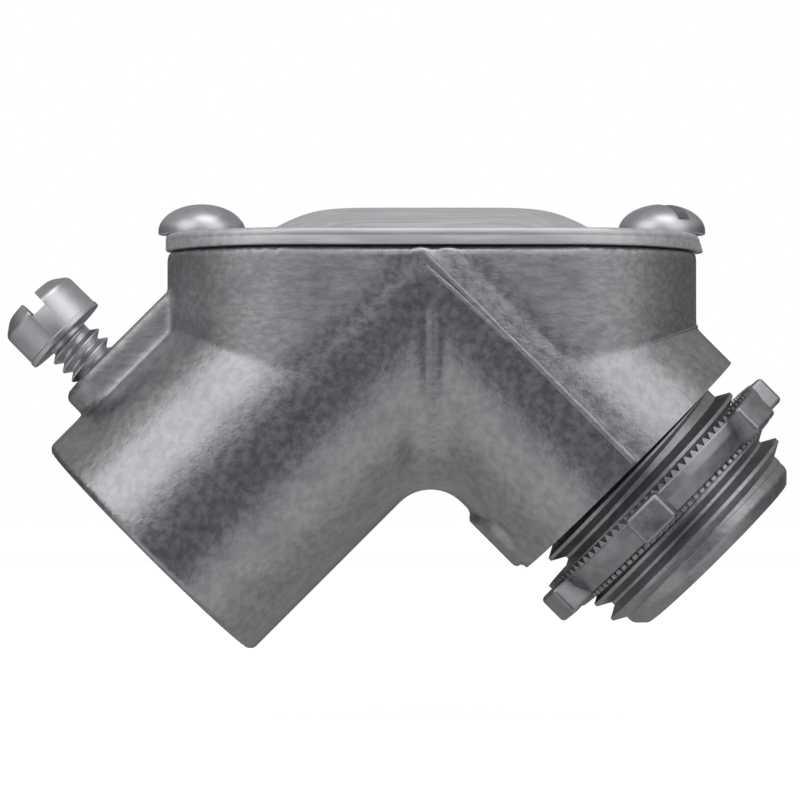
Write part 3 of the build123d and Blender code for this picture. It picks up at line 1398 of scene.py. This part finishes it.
@dataclass
class Locknut:
    """The die-cast locknut with its lugs and its two rows of teeth."""

    start: float = 2.4
    width: float = 3.25
    bore: float = 10.44
    bore_ease: float = 0.35
    inboard_radius: float = 12.0
    outboard_radius: float = 11.1
    lug_count: int = 6
    lug_reach: float = 13.57
    lug_width: float = 3.6
    lug_thickness: float = 2.7
    lug_setback: float = 0.25
    lug_rounding: float = 0.38
    phase: float = 100.3
    tooth_count: int = 96
    tooth_depth: float = 0.5
    tooth_run: float = 0.95
    tooth_foot: float = 0.03
    bump_share: float = 0.75
    bump_length: float = 0.5
    bump_height: float = 0.44
    bump_rounding: float = 0.09

    def ring(self) -> Object:
        """Builds the plain ring, cut back where the teeth stand.

        Returns:
            The ring.
        """
        near = self.start + self.tooth_depth
        far = self.start + self.width
        corners: list[Corner] = [
            (self.bore, near + self.bore_ease, 0.0),
            (self.bore + self.bore_ease, near, 0.0),
            (self.inboard_radius - 0.05, near, 0.08),
            (self.inboard_radius, near + 0.15, 0.1),
            (self.inboard_radius - 0.12, self.start + 1.5, 1.0),
            (self.outboard_radius + 0.15, far - 0.5, 0.3),
            (self.outboard_radius - 0.2, far - 0.4, 0.05),
            (self.outboard_radius - 0.24, far, 0.05),
            (self.bore, far - 0.3, 0.0),
            (self.bore, near + self.bore_ease, 0.0),
        ]
        return as_object("ring", lathe(eased(corners, 4)[:-1], 144, ring=True))

    def lug(self) -> Object:
        """Builds one blunt lug, rounded all over.

        Returns:
            The lug, on the X axis.
        """
        foot = (self.bore + self.outboard_radius) / 2
        length = self.lug_reach - foot
        level = self.start + self.lug_setback + self.lug_thickness / 2
        middle = Vector((foot + length / 2, 0, level))
        lug = as_object("lug", block((length, self.lug_width, self.lug_thickness), middle))
        return soften(lug, self.lug_rounding, segments=4)

    def tooth(self) -> Object:
        """Builds one saw tooth that bites the box, standing in from the inboard rim.

        Returns:
            The tooth, on the X axis.
        """
        pitch = 2 * math.pi * self.inboard_radius / self.tooth_count
        inner = self.inboard_radius - self.tooth_run
        outer = self.inboard_radius - self.tooth_foot
        level = self.start + self.tooth_depth + self.tooth_foot
        outline = (
            (-0.42 * pitch, 0.0),
            (0.0, -self.tooth_depth),
            (0.18 * pitch, -self.tooth_depth),
            (0.5 * pitch, 0.0),
        )
        mesh = bmesh.new()
        near = [mesh.verts.new((inner, y * inner / self.inboard_radius, level + z)) for y, z in outline]
        far = [mesh.verts.new((outer, y, level + z)) for y, z in outline]
        mesh.faces.new(near)
        mesh.faces.new(far)
        for step in range(len(outline)):
            ahead = (step + 1) % len(outline)
            mesh.faces.new((near[step], near[ahead], far[ahead], far[step]))
        bmesh.ops.recalc_face_normals(mesh, faces=mesh.faces)
        return as_object("tooth", mesh)

    def bump(self) -> Object:
        """Builds one small blunt tooth of the outboard rim, with a narrow gap to the next.

        Returns:
            The tooth, on the X axis.
        """
        width = self.bump_share * 2 * math.pi * self.outboard_radius / self.tooth_count
        middle = Vector((self.outboard_radius - 0.16, 0, self.start + self.width - 0.24))
        bump = as_object("bump", block((self.bump_length, width, self.bump_height), middle))
        return soften(bump, self.bump_rounding, segments=1)

    def build(self, material: Material, ring_of: NodeTree) -> Object:
        """Builds the nut.

        Args:
            material: its finish.
            ring_of: the tree that repeats a part round the ring.

        Returns:
            The nut.
        """
        parts = [self.ring()]
        turn = math.radians(self.phase)
        for name, part, count in (
            ("lugs", self.lug(), self.lug_count),
            ("teeth", self.tooth(), self.tooth_count),
            ("bumps", self.bump(), self.tooth_count),
        ):
            values = {"Part": part, "Count": count, "Phase": turn, "Finish": material}
            parts.append(run_tree(name, ring_of, values))
            bpy.data.objects.remove(part)
        whole = join("locknut_cast", parts)
        return hand_over(whole, HUB, material, Body.NUT, ["locknut"])


@dataclass
class Studio:
    """The floor, the soft light and the camera."""

    world_light: float = 0.45
    floor_reach: float = 4.0
    paper: str = "#959595"
    paper_white: float = 0.9
    floor_gap: float = 0.0001
    nut_drop: float = 0.0085
    target: tuple[float, float, float] = (-0.01930, 0.0, 0.00550)
    distance: float = 0.403
    elevation: float = -1.3
    azimuth: float = 0.0
    view_angle: float = 9.57
    tent_radius: float = 1.3
    gap_way: tuple[float, float, float] = (0.0, -0.966, -0.259)
    front_cloth: tuple[float, float, float, float] = (0.60, 0.60, 0.60, 1.0)
    back_cloth: tuple[float, float, float, float] = (0.36, 0.36, 0.36, 1.0)
    flag: tuple[float, float, float, float] = (0.14, 0.14, 0.145, 1.0)
    room: tuple[float, float, float, float] = (0.135, 0.143, 0.165, 1.0)
    lamps: list[tuple[str, tuple[float, float, float], float, float]] = field(
        default_factory=lambda: [
            ("left_softbox", (-0.557, -0.616, 0.557), 0.92, 0.8),
            ("right_softbox", (0.53, -0.66, 0.53), 0.92, 0.6),
            ("top_softbox", (0.12, -0.30, 0.94), 0.7, 1.5),
        ]
    )

    def build(self) -> None:
        """Builds the studio."""
        self.world()
        self.floor()
        self.tent()
        for name, place, size, radiance in self.lamps:
            self.lamp(name, Vector(place), size, radiance)
        self.camera()

    def seen(self, tree: NodeTree) -> Node:
        """Tells what is seen from what only lights.

        Args:
            tree: the material's or the world's tree.

        Returns:
            A node that gives 1 for rays from the camera, a gloss or a glass, and 0 for others.
        """
        path = add_node(tree, "ShaderNodeLightPath").outputs
        either = path["Is Camera Ray"]
        for other in ("Is Glossy Ray", "Is Transmission Ray"):
            values = {0: either, 1: path[other]}
            either = add_node(tree, "ShaderNodeMath", values, operation="MAXIMUM")
        return either

    def world(self) -> None:
        """A white backdrop that adds only a soft grey light."""
        world = bpy.data.worlds.new("studio")
        world.use_nodes = True
        tree = world.node_tree
        tree.nodes.clear()
        dim, white = (
            add_node(tree, "ShaderNodeBackground", {"Color": WHITE, "Strength": strength})
            for strength in (self.world_light, 1.0)
        )
        mix = add_node(tree, "ShaderNodeMixShader", {0: self.seen(tree), 1: dim, 2: white})
        add_node(tree, "ShaderNodeOutputWorld", {"Surface": mix})
        bpy.context.scene.world = world

    def floor(self) -> None:
        """A plain pale floor that keeps the object's shadow, low enough for the nut when it is run off."""
        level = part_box("locknut")[0][2] - self.nut_drop - self.floor_gap
        mesh = bmesh.new()
        bmesh.ops.create_grid(mesh, x_segments=2, y_segments=2, size=self.floor_reach)
        mesh.transform(Matrix.Translation((0, 0, level)))
        thing = as_object("floor", mesh)
        material, tree, _ = new_material("white_paper_sweep")
        paper = add_node(tree, "ShaderNodeBsdfDiffuse", {"Color": linear(self.paper)})
        values = {0: self.seen(tree), 1: self.paper_white}
        shown = add_node(tree, "ShaderNodeMath", values, operation="MULTIPLY")
        glow = add_node(tree, "ShaderNodeEmission", {"Color": WHITE, "Strength": shown})
        both = add_node(tree, "ShaderNodeAddShader", {0: paper, 1: glow})
        add_node(tree, "ShaderNodeOutputMaterial", {"Surface": both})
        thing.data.materials.append(material)
        thing.visible_glossy = False

    def tent(self) -> None:
        """A grey tent with a dark flag low behind, and the dark room in the gap for the camera."""
        mesh = bmesh.new()
        bmesh.ops.create_uvsphere(mesh, u_segments=64, v_segments=32, radius=self.tent_radius)
        bmesh.ops.reverse_faces(mesh, faces=mesh.faces)
        thing = as_object("tent", mesh)
        material, tree, place = new_material("grey_cloth_tent")
        way = add_node(tree, "ShaderNodeVectorMath", {0: place}, operation="NORMALIZE")
        front, high, lens = (
            add_node(
                tree, "ShaderNodeVectorMath", {0: way, 1: axis}, operation="DOT_PRODUCT"
            ).outputs["Value"]
            for axis in ((0.0, -1.0, 0.0), (0.0, 0.0, 1.0), self.gap_way)
        )
        off_level = add_node(tree, "ShaderNodeMath", {0: high}, operation="ABSOLUTE")
        facing, level, behind, gap = (
            add_node(
                tree,
                "ShaderNodeMapRange",
                {"Value": value, "From Min": low, "From Max": full},
                interpolation_type="SMOOTHSTEP",
            )
            for value, low, full in (
                (front, -0.2, 0.3), (off_level, 0.42, 0.22), (front, 0.55, 0.15), (lens, 0.82, 0.92)
            )
        )
        flag = add_node(tree, "ShaderNodeMath", {0: level, 1: behind}, operation="MULTIPLY")
        light = self.back_cloth
        for share, colour in ((facing, self.front_cloth), (flag, self.flag), (gap, self.room)):
            values = {"Factor": share, "A": light, "B": colour}
            light = add_node(tree, "ShaderNodeMix", values, data_type="RGBA").outputs["Result"]
        glow = add_node(tree, "ShaderNodeEmission", {"Color": light, "Strength": 1.0})
        add_node(tree, "ShaderNodeOutputMaterial", {"Surface": glow})
        thing.data.materials.append(material)
        thing.visible_camera = False

    def lamp(self, name: str, place: Vector, size: float, radiance: float) -> None:
        """A round softbox that faces the object and isn't seen by the camera.

        Args:
            name: the lamp's name.
            place: where it stands, in metres.
            size: its diameter in metres.
            radiance: how bright its face is, 1 being white.
        """
        light = bpy.data.lights.new(name, "AREA")
        light.shape = "DISK"
        light.size = size
        light.energy = radiance * math.pi * math.pi * (size / 2) ** 2
        thing = bpy.data.objects.new(name, light)
        bpy.context.scene.collection.objects.link(thing)
        thing.location = Vector(self.target) + place
        thing.rotation_euler = (-place).to_track_quat("-Z", "Y").to_euler()
        thing.visible_camera = False

    def camera(self) -> None:
        """The camera, almost level with the object and square to its side."""
        data = bpy.data.cameras.new("camera")
        data.sensor_width = 36.0
        data.lens = 18.0 / math.tan(math.radians(self.view_angle) / 2)
        data.clip_start = 0.01
        thing = bpy.data.objects.new("camera", data)
        bpy.context.scene.collection.objects.link(thing)
        up, round_ = math.radians(self.elevation), math.radians(self.azimuth)
        way = Vector((math.sin(round_) * math.cos(up), -math.cos(round_) * math.cos(up), math.sin(up)))
        thing.location = Vector(self.target) + way * self.distance
        thing.rotation_euler = (-way).to_track_quat("-Z", "Y").to_euler()
        bpy.context.scene.camera = thing


def main() -> None:
    """Builds the elbow and its studio."""
    logging.basicConfig(level=logging.INFO, format="%(name)s %(message)s")
    casting, locknut = CASTING_SKIN.material(), LOCKNUT_SKIN.material()
    sheet, plate = COVER_SHEET.material(), SCREW_PLATE.material()
    thread, ring_of, bead = thread_tree(), ring_tree(), bead_tree()
    Studio().build()
    elbow = Elbow()
    body = elbow.body(casting)
    elbow.hub(casting, thread)
    elbow.beads(casting, bead, body)
    Cover().build(sheet)
    CoverScrew(-1, 0.0, Body.LEFT_SCREW, "cover_screw_left").build(plate, thread)
    CoverScrew(1, -58.0, Body.RIGHT_SCREW, "cover_screw_right").build(plate, thread)
    ClampingScrew().build(plate, thread)
    Locknut().build(locknut, ring_of)
    bpy.context.scene.view_settings.view_transform = "Standard"


if __name__ == "__main__":
    main()
